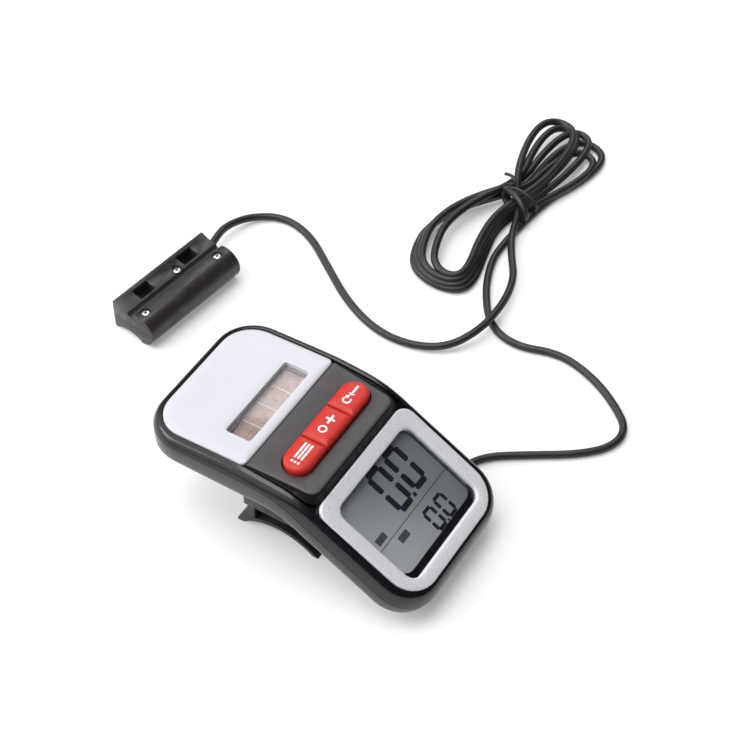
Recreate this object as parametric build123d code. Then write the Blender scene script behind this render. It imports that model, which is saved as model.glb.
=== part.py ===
"""Wired cycling computer: head, quick-release handlebar bracket, tied cable and fork sensor.

Millimetres, +Z up, +X to the rider's right, +Y forwards. The part stands on the feet of its
handlebar saddle and on its sensor. The origin is on the floor, midway between the saddle's feet.
"""
from build123d import *
import math
import os

# Head: outline and main levels
BODY_HALF_W = 22.4
BODY_HALF_W_NEAR = 22.0
BODY_FAR_Y = 35.3
BODY_NEAR_Y = -45.9
BODY_CORNER_R = 9.5
BODY_TOP_ROUND = 1.2
BODY_LOW_ROUND = 2.4
WALL = 1.5
RIM_Z = 30.1
SEAM_Z = 27.2
SEAM_DEPTH = 3.2
BELLY_Z = 21.5
CEILING_Z = 28.3
BAND_FAR_Y = 4.8
BAND_NEAR_Y = -13.2
BAND_FAR_Z = 30.9
BAND_NEAR_Z = 29.5
BAND_T = 0.8
PANEL_HALF_W = 20.0
PANEL_FAR_Y = 33.1
PANEL_TOP_Z = 30.4
PANEL_NEAR_Z = 31.2
PANEL_FLOOR_Z = 29.1
WINDOW_HALF_W = 13.2
WINDOW_NEAR_Y = 7.8
WINDOW_FAR_Y = 15.0

# Display: a plane tilted towards the rider; v runs up the slope from its upper edge, w is its normal
TILT = 30.3
DISPLAY_TOP_Y = -15.3
DISPLAY_TOP_Z = 26.9
BEZEL_LEN = 32.3
BEZEL_HALF_W_TOP = 20.2
BEZEL_HALF_W_LOW = 19.45
BEZEL_T = 1.2
VIEW_TOP = 3.9
VIEW_LOW = 29.2
VIEW_HALF_W_TOP = 16.0
VIEW_HALF_W_LOW = 15.6
LENS_T = 0.9
FRAME_DEPTH = 2.9
GLASS_T = 2.0
STRIP_T = 1.6
BOARD_T = 1.0

# Buttons: one rounded strip cut into three
BUTTON_Y = -5.3
BUTTON_W = 7.7
BUTTON_TIP_X = 16.2
BUTTON_SPLIT_X = 5.75
BUTTON_TOP_Z = 32.0
BUTTON_FOOT_Z = 26.5
BUTTON_GAP = 0.3
BUTTON_TRAVEL = 0.5

# Battery bay under the white panel
CELL_Y = 20.2
CELL_R = 10.0
CELL_T = 3.2
DOOR_R = 10.5
DOOR_GAP = 0.3
DOOR_TURN = 60.0
LUG_R = 11.8

# Key board
KEY_BOARD_Z = 24.6
KEY_BOARD_T = 0.8

# Case screws
SCREW_SPOTS = [(17.0, 27.5), (-17.0, 27.5), (18.2, 1.5), (-18.2, 1.5)]

# Quick-release foot and handlebar bracket
BAR_R = 15.9
SADDLE_T = 1.2
SADDLE_HALF_CHORD = 10.4
BRACKET_HALF_W = 15.0
BRACKET_FAR_Y = 9.7
BRACKET_NEAR_Y = -12.0
PLATE_LOW_Z = 7.9
PLATE_TOP_Z = 10.9
RAIL_TOP_Z = 14.6
FOOT_HALF_W = 12.1
FOOT_LOW_Z = 11.2
FOOT_TOP_Z = 13.0
NECK_HALF_W = 8.5
RAIL_GAP = 0.3
PIN_X = 4.0
PIN_Y = -2.0

# Sensor
SENSOR_ORIGIN = (21.76, 71.46)
SENSOR_TURN = -8.0
SENSOR_LEN = 35.2
BARREL_R = 4.85
BARREL_U = -2.5
SENSOR_SPLIT_Z = 4.9
SLOT_STARTS = [6.2, 23.4]
SLOT_LEN = 5.5
SENSOR_SCREWS = [(3.0, -2.3, 8.6), (31.5, -2.3, 8.6), (20.9, 3.2, 7.6)]

# Cable
CORD_D = 2.2
RELIEF_LEN = 4.5
FLOOR_Z = CORD_D / 2
UNIT_ROUTE = [
    (9.0, BRACKET_NEAR_Y - RELIEF_LEN, 9.2), (9.2, -22.0, 8.6), (13.2, -27.0, 5.6), (20.0, -28.0, 2.4),
    (27.5, -28.0, FLOOR_Z), (34.8, -31.4, FLOOR_Z), (41.2, -40.8, FLOOR_Z), (48.4, -52.0, FLOOR_Z),
    (55.2, -58.2, FLOOR_Z), (62.4, -58.6, FLOOR_Z), (68.2, -52.4, FLOOR_Z), (74.0, -43.0, FLOOR_Z),
    (77.3, -31.0, FLOOR_Z), (73.0, -19.2, FLOOR_Z), (76.4, -9.4, FLOOR_Z), (86.6, -2.3, FLOOR_Z),
    (95.6, 1.9, FLOOR_Z),
]
SENSOR_ROUTE = [
    (109.4, 4.4, 2.0), (102.6, -1.6, 2.2), (94.0, -7.4, 2.8), (83.2, -9.9, 3.9), (71.4, -9.4, 3.9),
    (62.2, -4.2, 2.0), (58.2, 5.6, FLOOR_Z), (58.2, 16.4, FLOOR_Z), (63.4, 28.8, FLOOR_Z),
    (72.4, 41.2, FLOOR_Z), (80.2, 52.0, FLOOR_Z), (82.6, 62.4, FLOOR_Z), (77.4, 70.4, 1.6),
    (69.6, 73.0, 3.4), (63.4, 72.4, 4.8), (57.4, 70.9, 5.2),
]
HANK_HEIGHT = 8.0
HANK_OUTLINE = [
    (77.0, 10.5), (79.5, 3.0), (88.0, 0.6), (104.0, 2.6), (119.0, 1.0), (133.0, -5.6), (147.0, -8.2),
    (157.5, -4.0), (161.0, 6.0), (160.5, 15.0), (154.0, 18.4), (141.0, 15.4), (124.0, 12.4),
    (110.0, 22.0), (97.0, 24.8), (84.5, 20.6),
]
TIE_SPOT = (121.0, 6.6)
TIE_TURN = -9.0

# Derived levels
SADDLE_CENTRE_Z = -math.sqrt(BAR_R**2 - SADDLE_HALF_CHORD**2)
SLOPE = math.radians(TILT)
DISPLAY = Plane(
    origin=(0, DISPLAY_TOP_Y, DISPLAY_TOP_Z),
    x_dir=(1, 0, 0),
    z_dir=(0, -math.sin(SLOPE), math.cos(SLOPE)),
)


def block(x0, x1, y0, y1, z0, z1):
    """A box from its two corners."""
    box = Box(x1 - x0, y1 - y0, z1 - z0)
    return Pos((x0 + x1) / 2, (y0 + y1) / 2, (z0 + z1) / 2) * box


def rod(x, y, z0, z1, radius):
    """An upright cylinder."""
    return Pos(x, y, (z0 + z1) / 2) * Cylinder(radius, z1 - z0)


def side_slab(points, half_w):
    """A side view outline in (y, z), thickened equally to both sides in x."""
    outline = make_face(Plane.YZ * Polyline(*points, close=True))
    return extrude(outline, half_w, both=True)


def rounded_face(corners):
    """A flat outline from (x, y, corner radius) values, rounded corner by corner."""
    face = make_face(Polyline(*[(x, y) for x, y, _ in corners], close=True))
    for x, y, radius in corners:
        if radius > 0:
            face = fillet(face.vertices().sort_by_distance((x, y, 0))[0], radius)
    return face


def tapered_outline(top, low, half_top, half_low, r_top, r_low):
    """A symmetric outline between two levels of y, with its own width and corner radius at each."""
    return rounded_face([
        (half_top, top, r_top), (-half_top, top, r_top), (-half_low, low, r_low), (half_low, low, r_low),
    ])


def on_display(v, w):
    """The (y, z) place of a point v up the display's slope and w above its face."""
    y = DISPLAY_TOP_Y + v * math.cos(SLOPE) - w * math.sin(SLOPE)
    z = DISPLAY_TOP_Z + v * math.sin(SLOPE) + w * math.cos(SLOPE)
    return (y, z)


def display_slab(outline, w0, w1):
    """An outline drawn on the display's plane, thickened between two heights above that plane."""
    return DISPLAY * (Pos(0, 0, w0) * extrude(outline, w1 - w0))


def band_z(y):
    """Height of the button band's face."""
    return BAND_FAR_Z + (BAND_NEAR_Z - BAND_FAR_Z) * (BAND_FAR_Y - y) / (BAND_FAR_Y - BAND_NEAR_Y)


def seam_side(above):
    """Everything above or below the seam between the two shells."""
    low = on_display(-60.0, -SEAM_DEPTH)
    bend = on_display((SEAM_Z - on_display(0, -SEAM_DEPTH)[1]) / math.sin(SLOPE), -SEAM_DEPTH)
    limit = 80.0 if above else -80.0
    points = [(60.0, SEAM_Z), bend, low, (low[0], limit), (60.0, limit)]
    return side_slab(points, 40.0)


def rounded_rim(solid, way, radius):
    """Round the edge that surrounds all the faces that look up (way 1) or down (way -1)."""
    faces = [f for f in solid.faces() if way * f.normal_at(f.center()).Z > 0.5]
    edges = [e for f in faces for e in f.edges()]
    rim = [e for e in edges if sum(e.is_same(other) for other in edges) == 1]
    return fillet(rim, radius)


def outer_body():
    """The head's whole outer shape."""
    low_end = on_display(-35.4, -9.6)
    top_end = on_display(-35.4, -0.3)
    profile = [
        (BODY_FAR_Y, RIM_Z), (BAND_FAR_Y, BAND_FAR_Z), (BAND_NEAR_Y, BAND_NEAR_Z), on_display(0.2, -0.3),
        top_end, low_end, (-5.8, BELLY_Z), (31.5, BELLY_Z), (BODY_FAR_Y, BELLY_Z + 2.5),
    ]
    plan = tapered_outline(
        BODY_FAR_Y, BODY_NEAR_Y, BODY_HALF_W, BODY_HALF_W_NEAR, BODY_CORNER_R, BODY_CORNER_R - 0.5
    )
    body = side_slab(profile, 30.0) & extrude(plan, 60.0)
    body = rounded_rim(body, -1, BODY_LOW_ROUND)
    return rounded_rim(body, 1, BODY_TOP_ROUND)


def cavity():
    """The hollow inside the head."""
    profile = [
        (BODY_FAR_Y - WALL, CEILING_Z), (3.0, CEILING_Z), (-12.0, 27.1), on_display(2.5, -FRAME_DEPTH),
        on_display(-33.2, -FRAME_DEPTH), on_display(-33.2, -8.1), (-6.2, BELLY_Z + WALL),
        (BODY_FAR_Y - WALL, BELLY_Z + WALL),
    ]
    plan = tapered_outline(
        BODY_FAR_Y - WALL, BODY_NEAR_Y + WALL, BODY_HALF_W - WALL, BODY_HALF_W_NEAR - WALL,
        BODY_CORNER_R - WALL, BODY_CORNER_R - WALL,
    )
    return side_slab(profile, 30.0) & extrude(plan, 60.0)


def panel_outline(gap):
    """The white panel's outline, grown by a gap."""
    return tapered_outline(
        PANEL_FAR_Y + gap, BAND_FAR_Y + 0.1, PANEL_HALF_W + gap, PANEL_HALF_W + gap, 8.5, 1.6
    )


def window_outline(inset):
    """The solar window's outline, made smaller by an inset."""
    return tapered_outline(
        WINDOW_FAR_Y - inset, WINDOW_NEAR_Y + inset, WINDOW_HALF_W - inset, WINDOW_HALF_W - inset, 0.8, 0.8
    )


def band_outline(gap):
    """The button band's outline, grown by a gap."""
    return tapered_outline(BAND_FAR_Y, BAND_NEAR_Y - gap, 19.4 + gap, 18.4 + gap, 0.6, 3.0)


def band_slab(outline, depth_low, depth_high):
    """An upright prism of the outline, kept between two depths below the band's face."""
    points = [
        (20.0, band_z(20.0) - depth_high), (-30.0, band_z(-30.0) - depth_high),
        (-30.0, band_z(-30.0) - depth_low), (20.0, band_z(20.0) - depth_low),
    ]
    return side_slab(points, 40.0) & extrude(outline, 60.0)


def button_strip(gap):
    """The rounded strip that the three buttons share, grown by a gap, as an outline."""
    return Pos(0, BUTTON_Y) * SlotOverall(2 * (BUTTON_TIP_X + gap), BUTTON_W + 2 * gap)


def bezel_outline(gap):
    """The display bezel's outline, grown by a gap."""
    return tapered_outline(
        gap, -BEZEL_LEN - gap, BEZEL_HALF_W_TOP + gap, BEZEL_HALF_W_LOW + gap, 3.5, 8.0
    )


def view_outline(gap):
    """The display's viewing window, grown by a gap."""
    return tapered_outline(
        -VIEW_TOP + gap, -VIEW_LOW - gap, VIEW_HALF_W_TOP + gap, VIEW_HALF_W_LOW + gap, 3.0, 3.0
    )


def top_shell():
    """Upper shell: rim, recesses for the panel, band and bezel, and four screw bosses."""
    shell = (outer_body() & seam_side(True)) - cavity()
    for x, y in SCREW_SPOTS:
        shell += rod(x, y, 25.7, CEILING_Z + 0.2, 1.8)
        shell -= rod(x, y, 25.0, 28.0, 0.8)
    shell -= Pos(0, 0, PANEL_FLOOR_Z) * extrude(panel_outline(0.1), 5.0)
    shell -= extrude(window_outline(0.5), 60.0)
    shell -= band_slab(band_outline(0.1), BAND_T, -5.0)
    shell -= extrude(button_strip(BUTTON_GAP), 60.0)
    shell -= display_slab(bezel_outline(0.1), -BEZEL_T, 3.0)
    shell -= display_slab(view_outline(1.1), -BEZEL_T - LENS_T, 0.0)
    shell -= display_slab(view_outline(0.2), -6.0, 0.0)
    return shell


def foot():
    """The head's quick-release foot with its neck, made to slide in the bracket's rails."""
    far = BRACKET_FAR_Y - 1.1 - RAIL_GAP
    near = BRACKET_NEAR_Y + 0.4
    under = block(-13.0, 13.0, near, far, RAIL_TOP_Z + RAIL_GAP, BELLY_Z + 0.5)
    under &= side_slab([(far, 5.0), (far, 30.0), (-6.2, 22.4), on_display(-6.0, -8.7), (near, 5.0)], 20.0)
    neck = block(-NECK_HALF_W, NECK_HALF_W, near, far, FOOT_LOW_Z, RAIL_TOP_Z + 1.0)
    flange = block(-FOOT_HALF_W, FOOT_HALF_W, near, far, FOOT_LOW_Z, FOOT_TOP_Z)
    return under + neck + flange


def bottom_shell():
    """Lower shell: belly, battery bay, screw bosses and the quick-release foot."""
    shell = (outer_body() & seam_side(False)) - cavity()
    shell += foot()
    for x, y in SCREW_SPOTS:
        shell += rod(x, y, BELLY_Z + 0.4, 25.6, 2.3) & extrude(
            tapered_outline(
                BODY_FAR_Y - 0.5, BODY_NEAR_Y + 0.5, BODY_HALF_W - 0.5, BODY_HALF_W_NEAR - 0.5, 9.0, 8.5
            ),
            60.0,
        )
        shell -= rod(x, y, BELLY_Z - 1.0, 23.0, 1.75)
        shell -= rod(x, y, BELLY_Z, 26.0, 0.95)
    shell -= rod(0, CELL_Y, BELLY_Z - 1.0, BELLY_Z + WALL + 1.0, DOOR_R + DOOR_GAP)
    for turn in (0, 180):
        notch = block(9.0, LUG_R + 0.4, -2.5, 2.5, BELLY_Z - 1, BELLY_Z + 3)
        shell -= Pos(0, CELL_Y) * Rot(0, 0, turn) * notch
    for x in (-PIN_X, PIN_X):
        shell -= rod(x, PIN_Y, FOOT_LOW_Z - 0.5, FOOT_LOW_Z + 1.0, 1.5)
    return shell


def solar_parts():
    """White panel, its clear window, the four cell strips and their backing."""
    panel = extrude(panel_outline(0.0), 60.0) & side_slab([
        (PANEL_FAR_Y, PANEL_FLOOR_Z), (PANEL_FAR_Y, PANEL_TOP_Z), (BAND_FAR_Y, PANEL_NEAR_Z),
        (BAND_FAR_Y, PANEL_FLOOR_Z),
    ], 30.0)
    panel = fillet(panel.faces().sort_by(Axis.Z)[-1].edges(), 0.6)
    panel -= extrude(window_outline(0.0), 60.0)
    window = Pos(0, 0, PANEL_FLOOR_Z) * extrude(window_outline(0.1), 0.8)
    strips = []
    width = (2 * WINDOW_HALF_W - 0.6) / 4
    for index in range(4):
        x0 = -WINDOW_HALF_W + 0.3 + index * width
        strips.append(block(x0 + 0.12, x0 + width - 0.12, 7.4, 15.4, 27.9, 28.2))
    backing = block(-13.8, 13.8, 6.9, 15.9, 27.1, 27.9)
    return {
        "solar_panel_cover": panel,
        "solar_window": window,
        "solar_cells": Compound(children=strips),
        "solar_backing": backing,
    }


def button_band():
    """The dark grey band round the buttons."""
    band = band_slab(band_outline(0.0), BAND_T, 0.0)
    return band - extrude(button_strip(BUTTON_GAP), 60.0)


def buttons():
    """Three buttons cut from one rounded strip, each with a retaining flange and a stem."""
    edges = [-BUTTON_TIP_X - 1, -BUTTON_SPLIT_X, BUTTON_SPLIT_X, BUTTON_TIP_X + 1]
    names = ["button_mode", "button_set", "button_reset"]
    cap = Pos(0, 0, BUTTON_FOOT_Z + 0.5) * extrude(button_strip(0.0), BUTTON_TOP_Z - BUTTON_FOOT_Z - 0.5)
    cap = fillet(cap.faces().sort_by(Axis.Z)[-1].edges(), 0.7)
    flange = Pos(0, 0, BUTTON_FOOT_Z) * extrude(button_strip(0.5), 0.5)
    whole = cap + flange
    made = {}
    for index, name in enumerate(names):
        x0 = edges[index] + BUTTON_GAP / 2
        x1 = edges[index + 1] - BUTTON_GAP / 2
        made[name] = whole & block(x0, x1, -15.0, 5.0, 20.0, 40.0)
    return made


def key_parts():
    """Key board, snap domes, keypad sheet and the ribbon to the display board."""
    top = KEY_BOARD_Z + KEY_BOARD_T
    board = block(-15.4, 15.4, -9.6, 9.4, KEY_BOARD_Z, top)
    domes = [rod(x, BUTTON_Y, top, top + 0.2, 2.5) for x in (-10.9, 0.0, 10.9)]
    sheet = block(-15.2, 15.2, -9.5, -1.8, top + 0.2, top + 0.5)
    end = on_display(-1.3, -6.6)
    low = KEY_BOARD_Z - 0.3
    ribbon = side_slab([
        (-8.8, KEY_BOARD_Z), (-11.2, KEY_BOARD_Z), end, (end[0] + 0.35, end[1]), (-11.0, low), (-8.8, low),
    ], 5.0)
    return {
        "key_board": board,
        "snap_domes": Compound(children=domes),
        "keypad_sheet": sheet,
        "ribbon_link": ribbon,
    }


def display_parts():
    """Bezel, lens, display panel, contact strips, display board and what it carries."""
    bezel = display_slab(bezel_outline(0.0) - view_outline(0.0), -BEZEL_T, 0.0)
    lens = display_slab(view_outline(1.0), -BEZEL_T - LENS_T, -BEZEL_T)
    glass_top = -FRAME_DEPTH - 0.1
    glass_low = glass_top - GLASS_T
    panel = DISPLAY * block(-17.5, 17.5, -30.7, -2.3, glass_low, glass_top)
    board_top = glass_low - STRIP_T
    strips = [DISPLAY * block(-15.0, 15.0, v - 0.9, v + 0.9, board_top, glass_low) for v in (-29.5, -3.5)]
    board = DISPLAY * block(-18.6, 18.6, -31.6, -1.6, board_top - BOARD_T, board_top)
    blob = DISPLAY * Pos(-4.0, -15.0, board_top + 0.6) * Cylinder(3.6, 1.2)
    crystal = DISPLAY * Pos(8.0, -20.0, board_top + 0.75) * Rot(0, 90, 0) * Cylinder(0.75, 5.0)
    return {
        "display_bezel": bezel,
        "display_lens": lens,
        "display_panel": panel,
        "contact_strips": Compound(children=strips),
        "display_board": board,
        "chip_blob": blob,
        "quartz_crystal": crystal,
    }


def battery_parts():
    """Coin cell, its contacts, and the quarter-turn door with its seal ring."""
    low = BELLY_Z + WALL + 0.2
    cell = fillet(rod(0, CELL_Y, low, low + CELL_T, CELL_R).edges(), 0.25)
    top = low + CELL_T
    leaf = block(-2.5, 2.5, 8.0, CELL_Y + 3.0, top + 0.05, top + 0.35)
    leg = block(-2.5, 2.5, 8.0, 8.3, KEY_BOARD_Z + KEY_BOARD_T, top + 0.35)
    board_top = KEY_BOARD_Z + KEY_BOARD_T
    strip = block(12.4, 12.8, 9.5, CELL_Y + 1.5, board_top - 0.6, board_top + 0.4)
    strip += block(12.4, 12.8, 8.0, 9.6, board_top, board_top + 0.4)
    strip += block(CELL_R + 0.02, 12.8, CELL_Y - 1.5, CELL_Y + 1.5, board_top - 0.6, board_top - 0.2)
    return {
        "coin_cell": cell,
        "battery_contact_negative": leaf + leg,
        "battery_contact_positive": strip,
    }


def door_parts():
    """The quarter-turn battery door: disc, coin slot, two locking lugs and the seal round its rim."""
    top = BELLY_Z + WALL
    door = rod(0, CELL_Y, BELLY_Z, top, DOOR_R)
    door -= block(-5.5, 5.5, CELL_Y - 0.8, CELL_Y + 0.8, BELLY_Z - 1, BELLY_Z + 0.7)
    lugs = rod(0, CELL_Y, top, top + 0.9, LUG_R) - rod(0, CELL_Y, top, top + 0.9, CELL_R + 0.1)
    lugs -= rod(0, CELL_Y, top, top + 0.2, LUG_R) - rod(0, CELL_Y, top, top + 0.2, DOOR_R)
    kept = Pos(0, CELL_Y) * Rot(0, 0, DOOR_TURN) * Box(2 * LUG_R + 2, 4.0, 80.0)
    groove = Pos(0, CELL_Y, BELLY_Z + WALL / 2)
    return {
        "battery_door": door + (lugs & kept) - groove * Torus(DOOR_R - 0.25, 0.42),
        "door_seal": groove * Torus(DOOR_R - 0.25, 0.4),
    }


def cross_screw(x, y, z_head, z_tip, head_r, head_t, shank_r, up):
    """A cross-head screw. The head's outer face is at z_head, on top if up is true, else below."""
    way = 1 if up else -1
    inner = z_head - way * head_t
    head = rod(x, y, min(z_head, inner), max(z_head, inner), head_r)
    shank = rod(x, y, min(inner, z_tip), max(inner, z_tip), shank_r)
    arm = 0.62 * head_r
    depth = 0.45 * head_t
    low = min(z_head, z_head - way * depth)
    for dx, dy in ((arm, 0.16 * head_r), (0.16 * head_r, arm)):
        head -= block(x - dx, x + dx, y - dy, y + dy, low, low + depth)
    return head + shank


def case_screws():
    """Four screws that close the shells, put in from below."""
    return Compound(children=[
        cross_screw(x, y, 22.0, 27.9, 1.6, 1.0, 0.75, False) for x, y in SCREW_SPOTS
    ])


def bracket():
    """Handlebar bracket: rails for the foot, plate, and the curved blade that lies on the bar."""
    w = BRACKET_HALF_W
    body = block(-w, w, BRACKET_NEAR_Y, BRACKET_FAR_Y, PLATE_LOW_Z, RAIL_TOP_Z)
    body -= block(
        -FOOT_HALF_W - RAIL_GAP, FOOT_HALF_W + RAIL_GAP, BRACKET_NEAR_Y - 1, BRACKET_FAR_Y - 1.1,
        PLATE_TOP_Z, FOOT_TOP_Z + RAIL_GAP,
    )
    body -= block(
        -NECK_HALF_W - RAIL_GAP, NECK_HALF_W + RAIL_GAP, BRACKET_NEAR_Y - 1, BRACKET_FAR_Y - 1.1,
        PLATE_TOP_Z, RAIL_TOP_Z + 1,
    )
    outer_r = BAR_R + SADDLE_T
    across = Rot(0, 90, 0)
    bar = Pos(0, 0, SADDLE_CENTRE_Z) * across * Cylinder(BAR_R, 80)
    blade = Pos(0, 0, SADDLE_CENTRE_Z) * across * Cylinder(outer_r, 2 * w)
    blade &= block(-w, w, -20, 20, 0, 20)
    joined_z = PLATE_LOW_Z + 0.1
    wall = side_slab([(8.2, joined_z), (11.9, 0.9), (9.0, 0.0), (6.6, 3.6), (6.6, joined_z)], w)
    rib = side_slab([(7, joined_z), (7, 3), (-9, 2), (-9, joined_z)], 1.4)
    body += (blade + wall + rib) - bar
    for x in (-8.0, 8.0):
        body -= block(x - 3.0, x + 3.0, 5.0, 14.0, 4.6, 6.8)
    for x in (-PIN_X, PIN_X):
        body -= rod(x, PIN_Y, 9.4, PLATE_TOP_Z + 1, 1.1)
    body -= Pos(9.0, BRACKET_NEAR_Y + 1.5, 9.2) * Rot(90, 0, 0) * Cylinder(1.2, 3.2)
    return body


def strain_relief():
    """Rubber sleeve round the cable where it leaves the bracket."""
    at = Pos(9.0, BRACKET_NEAR_Y - RELIEF_LEN / 2, 9.2) * Rot(90, 0, 0)
    return at * Cone(1.3, 1.7, RELIEF_LEN)


def bracket_parts():
    """The bracket and what is fixed to it."""
    pins = [rod(x, PIN_Y, 9.4, PLATE_TOP_Z + 0.15, 1.1) for x in (-PIN_X, PIN_X)]
    return {
        "handlebar_bracket": bracket(),
        "bracket_pins": Compound(children=pins),
        "strain_relief": strain_relief(),
    }


def foot_pads():
    """Two contact pads let into the head's foot."""
    return Compound(children=[
        rod(x, PIN_Y, FOOT_LOW_Z, FOOT_LOW_Z + 1.0, 1.5) for x in (-PIN_X, PIN_X)
    ])


def sensor_section():
    """End view of the sensor in (u, z): a round barrel, a ridged strip and an arched underside."""
    barrel = Pos(BARREL_U, BARREL_R) * Circle(BARREL_R)
    strip = make_face(Polyline(
        (-1.0, 2.0), (0.6, 8.0), (1.3, 8.0), (1.9, 8.7), (4.6, 8.9), (7.0, 9.9), (7.4, 9.6),
        (7.4, 0.6), (6.8, 0.0), (-1.0, 0.0), close=True,
    ))
    arch = Pos(1.9, -7.0) * Circle(8.6)
    return (barrel + strip) - arch


def place_sensor(shape):
    """From the sensor's own frame, x along its length, to its place on the floor."""
    return Pos(*SENSOR_ORIGIN) * Rot(0, 0, SENSOR_TURN) * shape


def sensor_parts():
    """Two half shells, reed switch on its board, and three screws."""
    section = Plane.YZ * sensor_section()
    whole = extrude(section, SENSOR_LEN)
    bay = block(5.6, 29.0, BARREL_U - 2.6, BARREL_U + 2.6, 2.0, 7.6)
    whole -= bay
    for start in SLOT_STARTS:
        whole -= block(start, start + SLOT_LEN, 2.4, 6.0, -1.0, 12.0)
    for x, u, z_top in SENSOR_SCREWS:
        whole -= rod(x, u, z_top - 1.0, 12.0, 1.45)
        whole -= rod(x, u, 2.4, z_top, 0.62)
    whole -= Pos(SENSOR_LEN - 1.0, 4.2, 5.2) * Rot(0, 90, 0) * Cylinder(CORD_D / 2, 2.1)
    upper = whole & block(-1, 40, -10, 10, SENSOR_SPLIT_Z + 0.05, 12)
    lower = whole & block(-1, 40, -10, 10, -1, SENSOR_SPLIT_Z)
    board = block(6.4, 28.2, BARREL_U - 2.2, BARREL_U + 2.2, 3.0, 3.8)
    reed = Pos(17.3, BARREL_U, 4.9) * Rot(0, 90, 0) * Cylinder(1.05, 14.0)
    screws = [cross_screw(x, u, z, 2.5, 1.35, 0.95, 0.6, True) for x, u, z in SENSOR_SCREWS]
    return {
        "sensor_upper_shell": place_sensor(upper),
        "sensor_lower_shell": place_sensor(lower),
        "sensor_board": place_sensor(board),
        "reed_switch": place_sensor(reed),
        "sensor_screws": place_sensor(Compound(children=screws)),
    }


def corner_radii(route):
    """Arc radius at each inner point: 0.45 of the shorter run over the tangent of half the turn."""
    points = [Vector(*p) for p in route]
    radii = []
    for before, here, after in zip(points, points[1:], points[2:]):
        run_in = here - before
        run_out = after - here
        turn = math.radians(run_in.get_angle(run_out))
        radii.append(0.45 * min(run_in.length, run_out.length) / math.tan(turn / 2))
    return radii


def cord_tube(name, route):
    """A round tube along straight runs joined by tangent arcs."""
    radii = corner_radii(route)
    print(name, "bend radii", [round(r, 1) for r in radii])
    path = FilletPolyline(*route, radius=radii)
    start = Plane(origin=path @ 0, z_dir=path % 0)
    tube = sweep(start * Circle(CORD_D / 2), path=path)
    expected = math.pi * (CORD_D / 2) ** 2 * path.length
    print(name, "length", round(path.length, 1), "volume ratio", round(tube.volume / expected, 4))
    return tube


def cord_parts():
    """The cable: two free runs, the tied hank between them and the tie."""
    outline = make_face(Polyline(*HANK_OUTLINE, close=True))
    outline = fillet(outline.vertices(), 2.0)
    hank = extrude(outline, HANK_HEIGHT)
    band = block(-0.8, 0.8, -7.4, 7.4, 0.0, HANK_HEIGHT + 0.9) - block(-1, 1, -6.4, 6.4, 1.0, HANK_HEIGHT)
    tie = Pos(*TIE_SPOT) * Rot(0, 0, TIE_TURN) * band
    return {
        "cord_unit_run": cord_tube("cord_unit_run", UNIT_ROUTE),
        "cord_hank": hank,
        "cord_sensor_run": cord_tube("cord_sensor_run", SENSOR_ROUTE),
        "hank_tie": tie,
    }


def all_parts():
    """Every node of the assembly by name."""
    parts = {"top_shell": top_shell(), "bottom_shell": bottom_shell(), "button_band": button_band()}
    parts.update(solar_parts())
    parts.update(buttons())
    parts.update(key_parts())
    parts.update(display_parts())
    parts.update(battery_parts())
    parts.update(door_parts())
    parts["case_screws"] = case_screws()
    parts["foot_pads"] = foot_pads()
    parts.update(bracket_parts())
    parts.update(sensor_parts())
    parts.update(cord_parts())
    return parts


os.makedirs("parts", exist_ok=True)
for node, shape in all_parts().items():
    export_step(shape, f"parts/{node}.step")
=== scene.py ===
import bpy
import bmesh
import math
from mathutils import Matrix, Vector


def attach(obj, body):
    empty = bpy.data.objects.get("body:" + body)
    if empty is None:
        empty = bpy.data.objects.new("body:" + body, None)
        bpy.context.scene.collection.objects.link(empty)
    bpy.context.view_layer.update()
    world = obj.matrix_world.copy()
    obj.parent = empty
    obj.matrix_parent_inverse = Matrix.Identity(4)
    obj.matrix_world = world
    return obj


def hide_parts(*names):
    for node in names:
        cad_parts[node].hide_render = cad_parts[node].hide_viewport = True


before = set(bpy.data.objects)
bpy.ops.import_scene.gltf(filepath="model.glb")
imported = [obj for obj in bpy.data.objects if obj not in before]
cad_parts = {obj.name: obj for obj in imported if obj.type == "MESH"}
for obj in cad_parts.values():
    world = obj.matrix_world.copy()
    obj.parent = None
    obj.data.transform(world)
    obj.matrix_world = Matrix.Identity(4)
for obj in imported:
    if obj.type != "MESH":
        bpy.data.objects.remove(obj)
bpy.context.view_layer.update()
MM = 0.001


# ---------------------------------------------------------------- camera, light and floor

LENS_MM = 94.9
CAMERA_PLACE = (-0.25495, -0.17626, 0.39202)
CAMERA_SPOT = (0.0457, 0.0103, 0.0)
LIGHT_SPOT = (0.03, 0.02, 0.0)
# Each soft box: name, place and size in metres, power in watts
SOFT_BOXES = [
    ("box_far", (-0.34, 0.62, 0.55), (0.55, 0.3), 2.3),
    ("box_right", (0.75, 0.30, 0.62), (0.5, 0.5), 2.0),
    ("box_top", (0.02, 0.1, 0.9), (0.7, 0.5), 3.6),
]
# The room is brightest in this direction, and falls off smoothly round it
BRIGHT_WAY = (-0.42, 0.58, 0.70)
BRIGHT_LEVELS = {"From Min": 0.45, "From Max": 0.9, "To Min": 0.06, "To Max": 1.5}
FLOOR_HALF = 3
FLOOR_GLOW = 0.26


def add(name, data, place=(0, 0, 0)):
    piece = bpy.data.objects.new(name, data)
    piece.location = place
    bpy.context.scene.collection.objects.link(piece)
    return piece


def aim(piece, spot):
    piece.rotation_euler = (Vector(spot) - piece.location).to_track_quat("-Z", "Y").to_euler()


def make_camera():
    lens = bpy.data.cameras.new("camera")
    lens.lens = LENS_MM
    lens.sensor_width = 36.0
    lens.clip_start = 0.01
    camera = add("camera", lens, CAMERA_PLACE)
    aim(camera, CAMERA_SPOT)
    bpy.context.scene.camera = camera


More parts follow.
